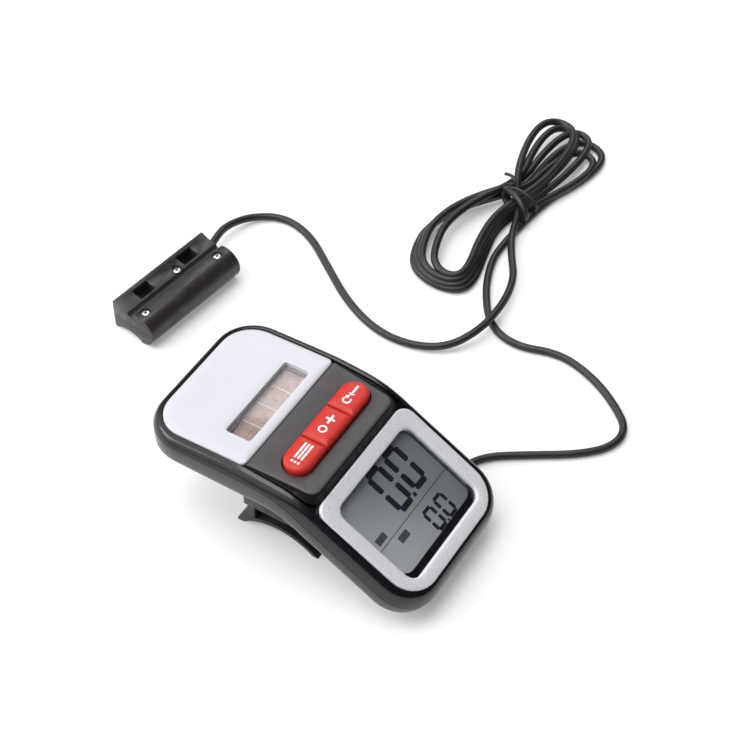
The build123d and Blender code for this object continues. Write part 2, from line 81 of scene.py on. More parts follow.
def make_room_light():
    world = bpy.data.worlds.new("studio")
    bpy.context.scene.world = world
    world.use_nodes = True
    tree = world.node_tree
    way = tree.nodes.new("ShaderNodeTexCoord")
    glow = tree.nodes.new("ShaderNodeVectorMath")
    glow.operation = "DOT_PRODUCT"
    glow.inputs[1].default_value = Vector(BRIGHT_WAY).normalized()
    tree.links.new(way.outputs["Generated"], glow.inputs[0])
    level = tree.nodes.new("ShaderNodeMapRange")
    level.interpolation_type = "SMOOTHSTEP"
    for name, value in BRIGHT_LEVELS.items():
        level.inputs[name].default_value = value
    tree.links.new(glow.outputs["Value"], level.inputs["Value"])
    tree.links.new(level.outputs["Result"], tree.nodes["Background"].inputs["Strength"])
    tree.nodes["Background"].inputs["Color"].default_value = (0.96, 0.97, 1.0, 1)


def make_floor():
    """Pale paper that glows a little, so that shadows on it stay faint."""
    edge = FLOOR_HALF
    mesh = bpy.data.meshes.new("floor")
    mesh.from_pydata([(-edge, -edge, 0), (edge, -edge, 0), (edge, edge, 0), (-edge, edge, 0)], [],
                     [(0, 1, 2, 3)])
    floor = add("floor", mesh)
    paper = finish("floor_paper", (0.80, 0.80, 0.81), 0.6, mottle=0.01, mottle_mm=40, grain_mm=0.6,
                   grain=0.01, gloss=0.2)
    shader = paper.node_tree.nodes["Principled BSDF"]
    shader.inputs["Emission Color"].default_value = (1, 1, 1, 1)
    shader.inputs["Emission Strength"].default_value = FLOOR_GLOW
    floor.data.materials.append(paper)


def make_studio():
    scene = bpy.context.scene
    scene.view_settings.view_transform = "Standard"
    scene.view_settings.look = "None"
    make_room_light()
    for name, place, size, power in SOFT_BOXES:
        light = bpy.data.lights.new(name, "AREA")
        light.shape = "RECTANGLE"
        light.size, light.size_y = size
        light.energy = power
        aim(add(name, light, place), LIGHT_SPOT)
    make_floor()


# ---------------------------------------------------------------- materials

class Nodes:
    """Short hand for a node tree whose pattern is laid in object space, in millimetres."""

    def __init__(self, name):
        self.material = bpy.data.materials.new(name)
        self.material.use_nodes = True
        self.tree = self.material.node_tree
        self.shader = self.tree.nodes["Principled BSDF"]
        self.place = self.tree.nodes.new("ShaderNodeTexCoord").outputs["Object"]

    def new(self, kind, **values):
        node = self.tree.nodes.new("ShaderNode" + kind)
        for key, value in values.items():
            if key in node.inputs:
                node.inputs[key].default_value = value
            else:
                setattr(node, key, value)
        return node

    def link(self, out, into):
        self.tree.links.new(out, into)

    def noise(self, size_mm, detail=2.0, stretch=(1, 1, 1)):
        node = self.new("TexNoise", Scale=1.0, Detail=detail)
        scale = self.new("Mapping")
        scale.inputs["Scale"].default_value = [s / (size_mm * MM) for s in stretch]
        self.link(self.place, scale.inputs["Vector"])
        self.link(scale.outputs["Vector"], node.inputs["Vector"])
        return node.outputs["Fac"]

    def range(self, value, low, high, start=0.35, end=0.65):
        node = self.new("MapRange")
        node.inputs["From Min"].default_value = start
        node.inputs["From Max"].default_value = end
        node.inputs["To Min"].default_value = low
        node.inputs["To Max"].default_value = high
        self.link(value, node.inputs["Value"])
        return node.outputs["Result"]

    def blend(self, value, a, b):
        node = self.new("Mix", data_type="RGBA")
        self.link(value, node.inputs[0])
        node.inputs[6].default_value = (*a, 1)
        node.inputs[7].default_value = (*b, 1)
        return node.outputs[2]

    def bump(self, value, strength, depth_mm):
        node = self.new("Bump", Strength=strength, Distance=depth_mm * MM)
        self.link(value, node.inputs["Height"])
        self.link(node.outputs["Normal"], self.shader.inputs["Normal"])


def shade(colour, by):
    return tuple(min(1.0, c * by) for c in colour)


def finish(name, colour, rough, metallic=0.0, mottle=0.06, mottle_mm=5.0, grain_mm=0.3,
           grain=0.1, grain_depth=0.03, gloss=0.5, coat=0.0, rough_spread=0.25,
           stretch=(1, 1, 1)):
    """Moulded plastic, paint or metal: slightly mottled, unevenly polished and finely grained."""
    n = Nodes(name)
    n.shader.inputs["Metallic"].default_value = metallic
    n.shader.inputs["Specular IOR Level"].default_value = gloss
    n.shader.inputs["Coat Weight"].default_value = coat
    n.shader.inputs["Coat Roughness"].default_value = 0.06
    broad = n.range(n.noise(mottle_mm, 3.0, stretch), 0, 1)
    n.link(n.blend(broad, shade(colour, 1 - mottle), shade(colour, 1 + mottle)),
           n.shader.inputs["Base Color"])
    polish = n.noise(mottle_mm * 0.4, 4.0, stretch)
    n.link(n.range(polish, rough * (1 - rough_spread), min(1.0, rough * (1 + rough_spread))),
           n.shader.inputs["Roughness"])
    n.bump(n.noise(grain_mm, 2.0, stretch), grain, grain_depth)
    return n.material


def glass(name, tint, rough=0.03, ior=1.49):
    """Clear moulded acrylic with a faint unevenness in its polish."""
    n = Nodes(name)
    n.shader.inputs["Base Color"].default_value = (*tint, 1)
    n.shader.inputs["Transmission Weight"].default_value = 1.0
    n.shader.inputs["IOR"].default_value = ior
    n.link(n.range(n.noise(3.0, 3.0), rough * 0.5, rough * 1.6), n.shader.inputs["Roughness"])
    n.bump(n.noise(6.0, 1.0), 0.04, 0.02)
    return n.material


def bezel_paint(name):
    """Silver-white lacquer: fine metallic flakes under a satin coat."""
    n = Nodes(name)
    flakes = n.new("TexVoronoi")
    flakes.inputs["Scale"].default_value = 1 / (0.16 * MM)
    n.link(n.place, flakes.inputs["Vector"])
    grey = n.new("RGBToBW")
    n.link(flakes.outputs["Color"], grey.inputs["Color"])
    flake = n.range(grey.outputs["Val"], 0, 1, 0.2, 0.8)
    n.link(n.blend(flake, (0.72, 0.72, 0.77), (0.90, 0.90, 0.94)), n.shader.inputs["Base Color"])
    n.shader.inputs["Metallic"].default_value = 0.12
    n.link(n.range(n.noise(0.5, 2.0), 0.28, 0.46), n.shader.inputs["Roughness"])
    n.bump(grey.outputs["Val"], 0.12, 0.02)
    return n.material


def cell_film(name):
    """Amorphous solar film: warm brown, faintly metallic, with fine lines across it."""
    n = Nodes(name)
    lines = n.new("TexWave", wave_type="BANDS", bands_direction="Y")
    lines.inputs["Scale"].default_value = 1 / (2.4 * MM)
    lines.inputs["Distortion"].default_value = 0.0
    n.link(n.place, lines.inputs["Vector"])
    broad = n.blend(n.range(n.noise(2.5, 3.0), 0, 1), (0.48, 0.33, 0.29), (0.58, 0.42, 0.37))
    n.link(broad, n.shader.inputs["Base Color"])
    n.shader.inputs["Metallic"].default_value = 0.25
    n.link(n.range(n.noise(0.8, 2.0), 0.25, 0.45), n.shader.inputs["Roughness"])
    n.bump(lines.outputs["Fac"], 0.05, 0.01)
    return n.material


def lcd_glass(name):
    """Reflective display, grey-blue: its colour is made lighter than the film itself, to stand in
    for the light the lens keeps off it, and a painted reflection lightens it towards its near left
    corner.
    """
    n = Nodes(name)
    split = n.new("SeparateXYZ")
    n.link(n.place, split.inputs["Vector"])
    both = n.new("Math", operation="ADD")
    n.link(split.outputs["X"], both.inputs[0])
    n.link(split.outputs["Y"], both.inputs[1])
    # Painted reflection: the colour turns pale towards the near left corner, where the display
    # mirrors the bright room.
    painted_reflection = n.range(both.outputs["Value"], 1, 0, -0.05, -0.022)
    n.link(n.blend(painted_reflection, (0.36, 0.40, 0.42), (0.90, 0.94, 0.97)), n.shader.inputs["Base Color"])
    n.link(n.range(n.noise(1.2, 3.0), 0.32, 0.45), n.shader.inputs["Roughness"])
    n.bump(n.noise(0.12, 1.0), 0.05, 0.01)
    return n.material


def circuit_board(name):
    """Green solder mask over copper, with a grid of lighter tracks."""
    n = Nodes(name)
    tracks = n.new("TexBrick")
    tracks.inputs["Scale"].default_value = 1 / (6.0 * MM)
    tracks.inputs["Mortar Size"].default_value = 0.03
    tracks.inputs["Color1"].default_value = (0.015, 0.10, 0.04, 1)
    tracks.inputs["Color2"].default_value = (0.02, 0.13, 0.05, 1)
    tracks.inputs["Mortar"].default_value = (0.04, 0.22, 0.09, 1)
    n.link(n.place, tracks.inputs["Vector"])
    n.link(tracks.outputs["Color"], n.shader.inputs["Base Color"])
    n.link(n.range(n.noise(1.0, 3.0), 0.3, 0.45), n.shader.inputs["Roughness"])
    n.bump(tracks.outputs["Fac"], 0.2, 0.03)
    return n.material


# Colour, roughness, and what differs from plain moulded plastic
FINISHES = {
    "gloss_black": ((0.006, 0.006, 0.008), 0.19,
                    dict(mottle=0.1, grain_mm=1.2, grain=0.015, grain_depth=0.02, coat=0.12)),
    "surround": ((0.030, 0.033, 0.038), 0.5, dict(grain_mm=0.4, grain=0.05)),
    "step_black": ((0.007, 0.007, 0.008), 0.5, dict(grain_mm=0.5, grain=0.03, gloss=0.15)),
    "lower_black": ((0.027, 0.021, 0.023), 0.26, dict(grain_mm=0.5, grain=0.03, coat=0.1)),
    "bracket_black": ((0.018, 0.016, 0.018), 0.42, dict(grain_mm=0.28, grain=0.10)),
    "band_grey": ((0.064, 0.057, 0.064), 0.44, dict(mottle=0.05, grain_mm=0.22, grain=0.05)),
    "white_gloss": ((0.645, 0.645, 0.685), 0.32,
                    dict(mottle=0.008, mottle_mm=12, grain_mm=2.5, grain=0.004, gloss=0.25,
                         coat=0.1, rough_spread=0.04)),
    "red": ((0.58, 0.030, 0.020), 0.38,
            dict(mottle=0.03, mottle_mm=3, grain_mm=0.3, grain=0.006, gloss=0.35)),
    "ink": ((0.86, 0.84, 0.84), 0.5, dict(mottle=0.03, mottle_mm=1, grain_mm=0.2)),
    "digit": ((0.008, 0.011, 0.024), 0.4, dict(mottle=0.2, mottle_mm=1, grain_mm=0.1)),
    "flag": ((0.12, 0.13, 0.145), 0.4, dict(mottle=0.1, mottle_mm=1, grain_mm=0.1)),
    "cell_line": ((0.88, 0.82, 0.78), 0.4, dict(mottle=0.05, mottle_mm=1)),
    "steel": ((0.62, 0.62, 0.64), 0.24,
              dict(metallic=1.0, mottle=0.05, mottle_mm=1.0, grain_mm=0.15, grain=0.12,
                   stretch=(1, 6, 1))),
    "chrome": ((0.86, 0.86, 0.88), 0.32,
               dict(metallic=1.0, mottle=0.05, mottle_mm=0.8, grain_mm=0.2, grain=0.02)),
    "brass": ((0.72, 0.50, 0.20), 0.28,
              dict(metallic=1.0, mottle=0.06, mottle_mm=1.0, grain_mm=0.15, grain=0.1)),
    "soft_grey": ((0.40, 0.385, 0.41), 0.6, dict(mottle=0.06, grain_mm=0.25, grain=0.15)),
    "ribbon": ((0.62, 0.36, 0.10), 0.35, dict(mottle=0.12, mottle_mm=0.8, stretch=(8, 1, 1))),
    "rubber": ((0.018, 0.018, 0.018), 0.55, dict(mottle=0.1, grain_mm=0.2, grain=0.25)),
    "cable": ((0.018, 0.014, 0.017), 0.42,
              dict(mottle=0.12, mottle_mm=2.0, grain_mm=0.35, grain=0.08)),
    "sensor_black": ((0.026, 0.021, 0.024), 0.38, dict(mottle=0.08, grain_mm=0.2, grain=0.10)),
}


def make_materials():
    made = {name: finish(name, colour, rough, **rest)
            for name, (colour, rough, rest) in FINISHES.items()}
    made["silver"] = bezel_paint("silver")
    made["clear"] = glass("clear", (0.98, 0.985, 0.99))
    made["clear_tube"] = glass("clear_tube", (0.86, 0.95, 0.90), 0.05, 1.5)
    made["lcd"] = lcd_glass("lcd")
    made["cell"] = cell_film("cell")
    made["board"] = circuit_board("board")
    return made


# ---------------------------------------------------------------- the whole cable, as one line

CABLE_RADIUS = 1.1
# Control points, millimetres: the run from the bracket's strain relief to the hank, as in CAD
UNIT_RUN = [
    (9.0, -15.2, 9.2), (9.0, -17.5, 9.2), (9.2, -22.0, 8.6), (13.2, -27.0, 5.6),
    (20.0, -28.0, 2.4), (27.5, -28.0, 1.1), (34.8, -31.4, 1.1), (41.2, -40.8, 1.1),
    (48.4, -52.0, 1.1), (55.2, -58.2, 1.1), (62.4, -58.6, 1.1), (68.2, -52.4, 1.1),
    (74.0, -43.0, 1.1), (77.3, -31.0, 1.1), (73.0, -19.2, 1.1), (76.4, -9.4, 1.1),
    (86.6, -2.3, 1.1), (96.4, 1.8, 1.1), (104.5, 3.2, 1.1),
]
# and the run from the hank to the sensor
SENSOR_RUN = [
    (117.5, 4.2, 2.8), (110.0, 2.4, 2.0), (102.6, -1.6, 2.6), (94.0, -7.4, 3.2),
    (83.2, -9.9, 3.9), (71.4, -9.4, 3.9), (62.2, -4.2, 2.0), (58.2, 5.6, 1.1),
    (58.2, 16.4, 1.1), (63.4, 28.8, 1.1), (72.4, 41.2, 1.1), (80.2, 52.0, 1.1),
    (82.6, 62.4, 1.1), (77.4, 70.4, 1.6), (69.6, 73.0, 3.4), (63.4, 72.4, 4.8),
    (57.8, 71.0, 5.2),
]
TIE_X, TIE_Y = 121.0, 6.2
# Each loop right of the tie: lean of its middle line in degrees, half width, length
RIGHT_LOOPS = [(-10, 6.3, 37.0), (-13, 4.5, 32.0), (-2, 4.6, 38.2), (5, 5.0, 37.6),
               (9, 5.8, 39.0)]
# Each loop left of the tie: half width, length, and how far its middle line lies to the near side
LEFT_LOOPS = [(10.0, 39.6, 0.0), (8.8, 39.0, 0.0), (7.7, 37.8, 0.0), (5.6, 36.4, 1.3)]
LOOP_POINTS = 9
LOOP_SWEEP = 80
LEFT_BOW, LEFT_BOW_BACK = 10.2, 5.4
LOWEST_STRAND, HIGHEST_STRAND = 1.15, 6.9


def loop_round(layer, way, half, length, fullness, spread):
    """Points round one loop: distance out from the tie, off its middle line, and on which side."""
    for k in range(LOOP_POINTS):
        turn = math.radians(way * (2 * LOOP_SWEEP * k / (LOOP_POINTS - 1) - LOOP_SWEEP))
        out = length * abs(math.cos(turn)) ** 0.9
        side = math.copysign(1, math.sin(turn)) if k != LOOP_POINTS // 2 else 0
        apart_at_tie = (1.0 + spread * (layer % 3)) * (1 - out / length)
        yield out, side * (half * abs(math.sin(2 * turn)) ** fullness + apart_at_tie), side


def strand_height(layer, pitch, flat, along, side_lift):
    """Height of a strand: each layer lies on those below it, and more loosely away from the tie."""
    rise = LOWEST_STRAND + pitch * layer * (flat + (1 - flat) * (1 - along))
    return min(HIGHEST_STRAND, rise + side_lift)


def hank_points():
    """Wraps of the hank. Each goes out to the right and back to the tie, then left and back."""
    points = []
    for i, (lean, half, length) in enumerate(RIGHT_LOOPS):
        a = math.radians(lean)
        for out, off, side in loop_round(i, 1, half, length, 0.75, 0.5):
            points.append((TIE_X + out * math.cos(a) - off * math.sin(a),
                           TIE_Y + out * math.sin(a) + off * math.cos(a),
                           strand_height(i, 1.32, 0.45, out / length, 0.7 * (side > 0))))
        if i < len(LEFT_LOOPS):
            half, length, near = LEFT_LOOPS[i]
            for out, off, side in loop_round(i, -1, half, length, 0.55, 0.6):
                bow = (LEFT_BOW - near) * min(1.0, out / 10.0)
                bow -= LEFT_BOW_BACK * max(0.0, out / length - 0.4) / 0.6
                points.append((TIE_X - out, TIE_Y + bow + off,
                               strand_height(i, 1.5, 0.55, out / length, 0.6 * (side > 0))))
    return points


def cable_line(name, points_mm, radius_mm, material):
    curve = bpy.data.curves.new(name, "CURVE")
    curve.dimensions = "3D"
    spline = curve.splines.new("NURBS")
    spline.points.add(len(points_mm) - 1)
    for point, place in zip(spline.points, points_mm):
        point.co = (*(c * MM for c in place), 1.0)
    spline.order_u = 3
    spline.use_endpoint_u = True
    spline.resolution_u = 6
    curve.bevel_depth = radius_mm * MM
    curve.bevel_resolution = 5
    curve.use_fill_caps = True
    curve.materials.append(material)
    return add(name, curve)


def make_cable(mats):
    cable = cable_line("cable", UNIT_RUN + hank_points() + SENSOR_RUN, CABLE_RADIUS,
                       mats["cable"])
    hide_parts("cord_unit_run", "cord_hank", "cord_sensor_run")
    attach(cable, "bracket")
    make_tie(mats)


# ---------------------------------------------------------------- mesh helpers (all in millimetres)

def add_mesh(name, verts_mm, faces):
    mesh = bpy.data.meshes.new(name)
    mesh.from_pydata([[c * MM for c in v] for v in verts_mm], [], faces)
    return add(name, mesh)


def piece_from(name, verts_mm, faces, material, body, sharp=30.0, stands_for=()):
    return dress(add_mesh(name, verts_mm, faces), material, body, sharp, stands_for)


def dress(piece, material, body, sharp=30.0, stands_for=()):
    """Turn faces outwards, shade, give the material, and tie the piece to its body."""
    form = bmesh.new()
    form.from_mesh(piece.data)
    bmesh.ops.remove_doubles(form, verts=form.verts, dist=1e-7)
    bmesh.ops.recalc_face_normals(form, faces=form.faces)
    form.to_mesh(piece.data)
    form.free()
    piece.data.materials.clear()
    piece.data.materials.append(material)
    piece.data.shade_smooth()
    piece.data.set_sharp_from_angle(angle=math.radians(sharp))
    if stands_for:
        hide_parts(*stands_for)
    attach(piece, body)
    return piece


def settle(piece):
    """Apply the piece's modifiers."""
    shaped = piece.evaluated_get(bpy.context.evaluated_depsgraph_get())
    mesh = bpy.data.meshes.new_from_object(shaped)
    piece.modifiers.clear()
    piece.data = mesh


def cut(piece, cutters):
    """Take closed cutters away from a closed piece."""
    for cutter in cutters:
        tool = piece.modifiers.new("cut", "BOOLEAN")
        tool.operation = "DIFFERENCE"
        tool.solver = "EXACT"
        tool.object = cutter
        settle(piece)
        bpy.data.objects.remove(cutter)


def bevel(piece, width_mm, segments=2, angle=35.0):
    tool = piece.modifiers.new("bevel", "BEVEL")
    tool.width = width_mm * MM
    tool.segments = segments
    tool.limit_method = "ANGLE"
    tool.angle_limit = math.radians(angle)
    settle(piece)


def raw(name, verts_mm, faces):
    """A closed mesh with its faces turned outwards, ready to be cut or bevelled."""
    piece = add_mesh(name, verts_mm, faces)
    form = bmesh.new()
    form.from_mesh(piece.data)
    bmesh.ops.recalc_face_normals(form, faces=form.faces)
    form.to_mesh(piece.data)
    form.free()
    return piece


def prism(points, low, high, place):
    """Verts and faces of a flat outline made thick; place(u, v, w) sets it in space."""
    n = len(points)
    verts = [place(u, v, low) for u, v in points] + [place(u, v, high) for u, v in points]
    faces = [tuple(range(n))[::-1], tuple(range(n, 2 * n))]
    faces += [(i, (i + 1) % n, n + (i + 1) % n, n + i) for i in range(n)]
    return verts, faces


def upright(x, y, low, high, radius, count=48):
    """A standing round bar, to cut a hole with."""
    turns = [math.tau * k / count for k in range(count)]
    ring = [(x + radius * math.cos(a), y + radius * math.sin(a)) for a in turns]
    return raw("cutter", *prism(ring, low, high, lambda u, v, w: (u, v, w)))


def outline(far, near, half_far, half_near, r_far, r_near, inset=0.0, arc=9, side=44, end=8):
    """A rounded four-sided outline as (x, s) points, anticlockwise, made smaller by an inset."""
    def half(s):
        return half_far + (half_near - half_far) * (far - s) / (far - near) - inset

    def corner(x, s, radius, quarter):
        turns = [math.pi / 2 * (quarter + k / arc) for k in range(arc)]
        return [(x + radius * math.cos(a), s + radius * math.sin(a)) for a in turns]

    rf, rn = max(r_far - inset, 0.2), max(r_near - inset, 0.2)
    top, low = far - inset - rf, near + inset + rn
    in_far, in_near = half(top) - rf, half(low) - rn
    rising = [low + (top - low) * k / side for k in range(side)]
    falling = [top + (low - top) * k / side for k in range(side)]
    return ([(half(s), s) for s in rising]
            + corner(in_far, top, rf, 0)
            + [(in_far * (1 - 2 * k / end), far - inset) for k in range(end)]
            + corner(-in_far, top, rf, 1)
            + [(-half(s), s) for s in falling]
            + corner(-in_near, low, rn, 2)
            + [(in_near * (2 * k / end - 1), near + inset) for k in range(end)]
            + corner(in_near, low, rn, 3))


def rings_of(plan, levels, place):
    """Rings of an outline, one for each inset and height of levels; place(x, s, w) sets them."""
    return [[place(x, s, w) for x, s in outline(inset=i, **plan)] for i, w in levels]


def as_is(x, y, z):
    return (x, y, z)


def loft(rings, closed=False, cap_start=False, cap_end=False):
    """Join rings of equally many points with quads. Closed joins the last ring to the first."""
    n = len(rings[0])
    verts = [p for ring in rings for p in ring]
    faces = []
    last = len(rings) if closed else len(rings) - 1
    for i in range(last):
        a, b = i * n, ((i + 1) % len(rings)) * n
        faces += [(a + j, a + (j + 1) % n, b + (j + 1) % n, b + j) for j in range(n)]
    if cap_start:
        faces.append(tuple(range(n)))
    if cap_end:
        faces.append(tuple(range((len(rings) - 1) * n, len(rings) * n))[::-1])
    return verts, faces

# ---------------------------------------------------------------- the head's own shape

SLOPE = math.radians(30.3)
KEY_X, KEY_Y = 0.7, -5.3
RIM_Z = 30.1
# The white cover's far edge, and the edge between it and the button band
COVER_FAR_Y, BAND_FAR_Y = 33.0, 4.8
# How far the top rises at that edge, how fast it falls again, and how deep down it is felt
TOP_RISE, TOP_FALL, RISE_DEPTH = 0.8, 0.0875, 6.0
BAND_FAR_Z, BAND_FALL = 31.0, 1.5 / 18.0
BEZEL_Y, BEZEL_Z = -15.3, 26.9
BEND_START = -2.54
BEND_R = 25.0
BEND_END = BEND_START - BEND_R * SLOPE
SEAM_DEPTH, BELLY_DEPTH = 2.3, 8.6
HEAD = dict(far=35.3, near=-51.9, half_far=22.9, half_near=23.1, r_far=10.9, r_near=10.6)
BELLY_EDGE_R = 2.6
# The battery bay, and the pockets of the case screws
BAY_Y, BAY_R, BAY_TOP = 20.2, 10.8, 24.6
SCREW_SPOTS = ((17.0, 27.5), (-17.0, 27.5), (18.2, 1.5), (-18.2, 1.5))
SCREW_R, SCREW_TOP = 1.75, 23.0
BELLY_BELOW = 20.0


def ease(t):
    t = min(1.0, max(0.0, t))
    return t * t * (3 - 2 * t)


def lift(y):
    """The top is not quite level: it rises towards the buttons and falls again past them."""
    if y >= BAND_FAR_Y:
        return TOP_RISE * ease((COVER_FAR_Y - y) / (COVER_FAR_Y - BAND_FAR_Y))
    return max(0.0, TOP_RISE - TOP_FALL * (BAND_FAR_Y - y))


def bend(x, s, h):
    """A point at side x and distance s along the head's top line, h below the rim's surface."""
    rise = lift(s) * max(0.0, 1.0 - h / RISE_DEPTH)
    if s >= BEND_START:
        return (x, s, RIM_Z + rise - h)
    a = min(SLOPE, (BEND_START - s) / BEND_R)
    run = max(0.0, BEND_END - s)
    y = BEND_START - BEND_R * math.sin(a) - run * math.cos(a) + h * math.sin(a)
    z = RIM_Z + rise - BEND_R * (1 - math.cos(a)) - run * math.sin(a) - h * math.cos(a)
    return (x, y, z)


def past_bend(s):
    """0 on the level part, 1 on the slope, and smooth between."""
    return ease((0.5 - s) / 18.0)


def seam_depth(s):
    """How far down the shells meet: lower on the slope than on the level part."""
    return SEAM_DEPTH + 1.7 * past_bend(s)


def belly_depth(s):
    return BELLY_DEPTH + 0.8 * past_bend(s)


def head_outline(inset):
    """The head's outline made smaller, with wider borders at its far and near ends."""
    plan = dict(HEAD, far=HEAD["far"] + 0.2 * inset, near=HEAD["near"] + 0.25 * inset)
    return outline(inset=inset, **plan)


def head_ring(inset, start, offset):
    """A ring of the head. start names where its depth counts from: the top, seam or belly."""
    level = {"top": lambda s: 0.0, "seam": seam_depth, "belly": belly_depth}[start]
    return [bend(x, s, level(s) + offset) for x, s in head_outline(inset)]


def shoulder(inset, share):
    """A ring part of the way, by share, from the rim's top down to just above the seam."""
    return [bend(x, s, share * (seam_depth(s) - 0.14)) for x, s in head_outline(inset)]


def on_display(x, v, w):
    """A point at side x, v up the display's slope and w above the bezel's face."""
    return (x, BEZEL_Y + v * math.cos(SLOPE) - w * math.sin(SLOPE),
            BEZEL_Z + v * math.sin(SLOPE) + w * math.cos(SLOPE))


def band_point(x, y, w):
    """A point w above the button band's face, which falls a little towards the display."""
    return (x, y, BAND_FAR_Z - BAND_FALL * (BAND_FAR_Y - y) + w)


def make_upper_shell(mats):
    lip = ((6.9, 1.3), (2.95, 1.3), (2.82, 1.15), (2.78, 0.25), (2.7, 0.06), (2.58, 0.0))
    slant = ((2.45, 0.008), (2.1, 0.03), (1.7, 0.08), (1.3, 0.17), (0.95, 0.30), (0.65, 0.46),
             (0.4, 0.64), (0.2, 0.81), (0.06, 0.94), (0.02, 1.0))
    under = ((0.08, -0.06), (0.28, 0.0), (0.6, 0.02), (2.0, 0.0))
    rings = [head_ring(i, "top", h) for i, h in lip]
    rings += [shoulder(i, share) for i, share in slant]
    rings += [head_ring(i, "seam", h) for i, h in under]
    rings += [head_ring(2.1, "top", 1.9), head_ring(6.9, "top", 1.9)]
    verts, faces = loft(rings, closed=True)
    piece_from("head_upper_shell", verts, faces, mats["gloss_black"], "head", 40,
               ["top_shell"])


def make_lower_shell(mats):
    """A tray with a wall 1.5 mm thick, its battery bay and its screw pockets."""
    outside = [(1.8, "seam", 0.1), (0.5, "seam", 0.1), (0.22, "seam", 0.12),
               (0.08, "seam", 0.2), (0.04, "seam", 0.34)]
    for a in [math.pi / 2 * k / 6 for k in range(7)]:
        outside.append((0.04 + BELLY_EDGE_R * (1 - math.cos(a)), "belly",
                        -BELLY_EDGE_R * (1 - math.sin(a))))
    outside += [(i, "belly", 0.0) for i in (5.0, 9.0, 13.0, 17.0, 20.6)]
    inside = [(i, "belly", -1.5) for i in (20.6, 17.0, 13.0, 9.0, 5.0, 3.2)]
    inside += [(1.8, "belly", -2.8)]
    verts, faces = loft([head_ring(*level) for level in outside])
    n = len(verts) // len(outside)
    start = len(verts)
    faces.append(tuple(range(start - n, start)))
    inner_verts, inner_faces = loft([head_ring(*level) for level in inside])
    verts += inner_verts
    faces += [tuple(start + v for v in face) for face in inner_faces]
    faces.append(tuple(range(start, start + n)))
    last = len(verts) - n
    faces += [(last + j, last + (j + 1) % n, (j + 1) % n, j) for j in range(n)]
    shell = raw("head_lower_shell", verts, faces)
    cutters = [upright(0, BAY_Y, BELLY_BELOW, BAY_TOP, BAY_R, 96)]
    cutters += [upright(x, y, BELLY_BELOW, SCREW_TOP, SCREW_R) for x, y in SCREW_SPOTS]
    cut(shell, cutters)
    dress(shell, mats["lower_black"], "head", 40, ["bottom_shell"])


FOOT_FAR, FOOT_NEAR = 8.3, -11.6


def make_foot(mats):
    """Neck and flange that slide into the bracket's rails; they are part of the lower shell."""
    def slab(low, high):
        return [(FOOT_FAR, low), (FOOT_FAR, high), (FOOT_NEAR, high), (FOOT_NEAR, low)]

    block = [(FOOT_FAR, 14.9), (FOOT_FAR, 21.7), (-5.4, 21.7), (-9.2, 20.6), (FOOT_NEAR, 19.2),
             (FOOT_NEAR, 14.9)]
    for name, points, half in (("foot_block", block, 13.0), ("foot_neck", slab(12.5, 15.4), 8.5),
                               ("foot_flange", slab(11.2, 13.0), 12.1)):
        piece = raw(name, *prism(points, -half, half, lambda y, z, x: (x, y, z)))
        if name == "foot_flange":
            cut(piece, [upright(x, -2.0, 10.0, 12.2, 1.5) for x in (-4.0, 4.0)])
        bevel(piece, 0.35, 3)
        dress(piece, mats["bracket_black"], "head", 35)


COVER = dict(far=33.1, near=4.9, half_far=20.0, half_near=20.0, r_far=8.5, r_near=1.6)
WINDOW = dict(far=15.0, near=7.8, half_far=13.2, half_near=13.2, r_far=0.8, r_near=0.8)
COVER_Z = 30.5
CELL_Z = 28.19
CELL_GAPS = {"cell_gap_0": -6.6, "cell_gap_66": 0.0, "cell_gap_132": 6.6}


def cover_outline(inset):
    """The cover's outline made smaller, with a narrower margin beside the window."""
    return outline(inset=inset, **dict(COVER, near=COVER["near"] - 0.6 * inset))


def make_cover(mats):
    """White cover with the solar window's opening; its outer edge is softly rounded."""
    def on_top(x, y, z):
        return (x, y, z + lift(y))

    edge = ((0.1, 29.1), (0.0, 29.3), (0.0, 29.65), (0.05, 29.85), (0.2, 30.02), (0.5, 30.15),
            (1.0, 30.27), (1.7, 30.37), (2.6, 30.44), (3.6, 30.48), (4.6, COVER_Z))
    rings = [[on_top(x, y, z) for x, y in cover_outline(i)] for i, z in edge]
    wide, tight = cover_outline(4.6), outline(inset=-0.32, **WINDOW)
    steps = 7
    for k in range(1, steps + 1):
        rings.append([on_top(a + (c - a) * k / steps, b + (d - b) * k / steps, COVER_Z)
                      for (a, b), (c, d) in zip(wide, tight)])
    rings += rings_of(WINDOW, ((-0.1, 30.43), (0.0, 30.28)), on_top)
    rings += rings_of(WINDOW, ((0.02, 29.1),), as_is)
    verts, faces = loft(rings, closed=True)
    piece_from("white_cover", verts, faces, mats["white_gloss"], "head", 40,
               ["solar_panel_cover"])


def make_solar_cell(mats):
    """What lies under the window: a frame, gaps between the strips and a rail along them."""
    frame_levels = ((-0.9, 29.06), (0.35, 29.06), (0.45, 28.95), (0.45, 28.25), (-0.9, 28.25))
    verts, faces = loft(rings_of(WINDOW, frame_levels, as_is), closed=True)
    piece_from("cell_frame", verts, faces, mats["soft_grey"], "head", 40)
    for name, x in CELL_GAPS.items():
        gap = [[(x + a, 11.4 + b, z) for a, b in bar(-0.2, -3.5, 0.2, 3.5)]
               for z in (CELL_Z, CELL_Z + 0.1)]
        verts, faces = loft(gap, cap_start=True, cap_end=True)
        piece_from(name, verts, faces, mats["cell_line"], "head")
    verts, faces = prism(bar(-12.9, 8.5, 12.9, 8.8), CELL_Z, CELL_Z + 0.07, as_is)
    piece_from("cell_rail", verts, faces, mats["cell_line"], "head")


